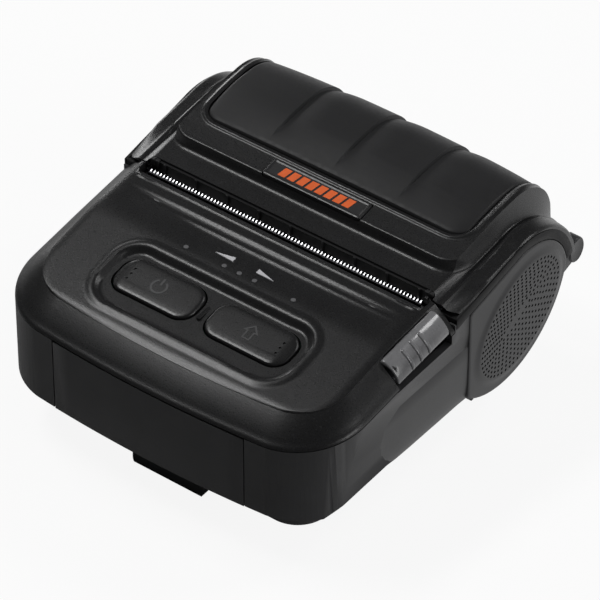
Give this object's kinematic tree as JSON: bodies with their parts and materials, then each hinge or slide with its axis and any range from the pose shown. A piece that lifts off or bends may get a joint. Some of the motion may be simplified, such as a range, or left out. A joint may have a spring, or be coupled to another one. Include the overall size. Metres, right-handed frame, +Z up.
{
  "type": "portable label printer",
  "caption": "Small battery label printer with a hinged paper lid, two panel buttons, a toothed tear bar, a side release latch, round sound grilles, a strap bar and a belt clip.",
  "frame": {"origin": "middle of the printer's box in plan, on the surface the printer lies on, which is the underside of the belt clip's tongue", "axes": "+X to the printer's right, +Y to the strap bar at the back, +Z up through the button panel"},
  "size_m": [0.104, 0.1184, 0.0583],
  "materials": {
    "case_shell": "fine satin grain",
    "cover_black": "speckled satin black",
    "black_plastic": "smooth",
    "gloss_black": "polished",
    "button_grey": "satin with a bright bevelled edge",
    "latch_grey": "pale and slightly see-through",
    "plate_dark": "dark satin",
    "steel": "brushed",
    "bright_steel": "bright",
    "alu": "milled",
    "brass_gear": "machined",
    "gear_nylon": "off-white nylon",
    "soft_rubber": "matt",
    "board_green": "solder mask",
    "lamp_clear": "frosted",
    "cell_wrap": "shrink wrap",
    "film_amber": "flexible film"
  },
  "bodies": {
    "printer": {"lower_case": "case_shell", "front_cover": "cover_black", "bottom_plate": "black_plastic", "rubber_feet": "soft_rubber", "side_cap_right": "case_shell", "side_cap_left": "case_shell", "tear_bar": "bright_steel", "head_bracket": "steel", "head_springs": "bright_steel", "frame_left": "steel", "frame_right": "steel", "gear_stud": "bright_steel", "hook_stud": "bright_steel", "stepper_motor": "plate_dark", "roll_tray": "black_plastic", "paper_sensor": "black_plastic", "main_board": "board_green", "button_switches": "plate_dark", "light_pipes": "lamp_clear", "radio_module": "steel", "head_cable": "film_amber", "buzzer": "black_plastic", "battery_contacts": "brass_gear", "port_board": "board_green", "charge_socket": "black_plastic", "data_socket": "bright_steel", "lid_hinge_pin": "bright_steel", "strap_bar": "bright_steel", "case_screws": "steel", "latch_spring": "bright_steel", "clip_base": "black_plastic", "clip_pin": "bright_steel", "clip_spring": "bright_steel", "clip_screws": "steel"},
    "head": {"print_head": "alu", "head_heat_sink": "alu"},
    "battery": {"battery_case": "case_shell", "battery_cells": "cell_wrap"},
    "catch": {"battery_catch": "black_plastic"},
    "lid": {"paper_lid": "cover_black", "lid_inset_panel": "gloss_black", "name_plate": "plate_dark", "lip_guide": "gloss_black", "platen_bracket": "steel", "platen_bushes": "black_plastic"},
    "platen": {"platen_roller": "soft_rubber", "platen_shaft": "bright_steel", "platen_gear": "gear_nylon"},
    "idler": {"idler_gear": "gear_nylon"},
    "pinion": {"motor_pinion": "brass_gear"},
    "power_key": {"power_button": "button_grey"},
    "feed_key": {"feed_button": "button_grey"},
    "latch": {"release_latch": "latch_grey"},
    "hook": {"latch_hook": "steel"},
    "flap": {"port_flap": "soft_rubber"},
    "clip": {"belt_clip": "gloss_black"}
  },
  "joints": [
    {"name": "lid_hinge", "type": "hinge", "parent": "printer", "child": "lid", "pos_m": [0, 0.0473, 0.0306], "axis": [-1, 0, 0], "range_deg": [0, 70]},
    {"name": "platen_spin", "type": "hinge", "parent": "lid", "child": "platen", "pos_m": [0, 0.0046, 0.0416], "axis": [1, 0, 0], "continuous": true},
    {"name": "idler_spin", "type": "hinge", "parent": "printer", "child": "idler", "pos_m": [0, 0.00147, 0.02945], "axis": [1, 0, 0], "continuous": true},
    {"name": "pinion_spin", "type": "hinge", "parent": "printer", "child": "pinion", "pos_m": [0, -0.00834, 0.02557], "axis": [1, 0, 0], "continuous": true},
    {"name": "head_pivot", "type": "hinge", "parent": "printer", "child": "head", "pos_m": [0, -0.0031, 0.0336], "axis": [1, 0, 0], "range_deg": [0, 2], "stiffness_Nm_per_rad": 1, "springref_deg": -2.86},
    {"name": "latch_slide", "type": "slide", "parent": "printer", "child": "latch", "axis": [0, 0, -1], "range_m": [0, 0.0018], "stiffness_N_per_m": 300, "springref_m": -0.002, "deforming": ["latch_spring"]},
    {"name": "hook_pivot", "type": "hinge", "parent": "printer", "child": "hook", "pos_m": [0, -0.008, 0.035], "axis": [1, 0, 0], "range_deg": [0, 9.9]},
    {"name": "power_press", "type": "slide", "parent": "printer", "child": "power_key", "axis": [0, 0.1736, -0.9848], "range_m": [0, 0.0008], "stiffness_N_per_m": 400, "springref_m": -0.001},
    {"name": "feed_press", "type": "slide", "parent": "printer", "child": "feed_key", "axis": [0, 0.1736, -0.9848], "range_m": [0, 0.0008], "stiffness_N_per_m": 400, "springref_m": -0.001},
    {"name": "battery_slide", "type": "slide", "parent": "printer", "child": "battery", "axis": [0, -1, 0], "range_m": [0, 0.06]},
    {"name": "catch_slide", "type": "slide", "parent": "battery", "child": "catch", "axis": [0, 1, 0], "range_m": [0, 0.002], "stiffness_N_per_m": 200, "springref_m": -0.002},
    {"name": "clip_hinge", "type": "hinge", "parent": "printer", "child": "clip", "pos_m": [0, -0.047, 0.0056], "axis": [-1, 0, 0], "range_deg": [0, 14], "stiffness_Nm_per_rad": 0.5, "springref_deg": -17.19},
    {"name": "flap_hinge", "type": "hinge", "parent": "printer", "child": "flap", "pos_m": [-0.05045, -0.01735, 0.025], "axis": [0, 0, -1], "range_deg": [0, 100]}
  ],
  "couplings": [
    {"joint": "idler_spin", "follows": "platen_spin", "ratio": -0.66667},
    {"joint": "pinion_spin", "follows": "platen_spin", "ratio": 1.6667},
    {"joint": "hook_pivot", "follows": "latch_slide", "rad_per_m": 95.2}
  ]
}
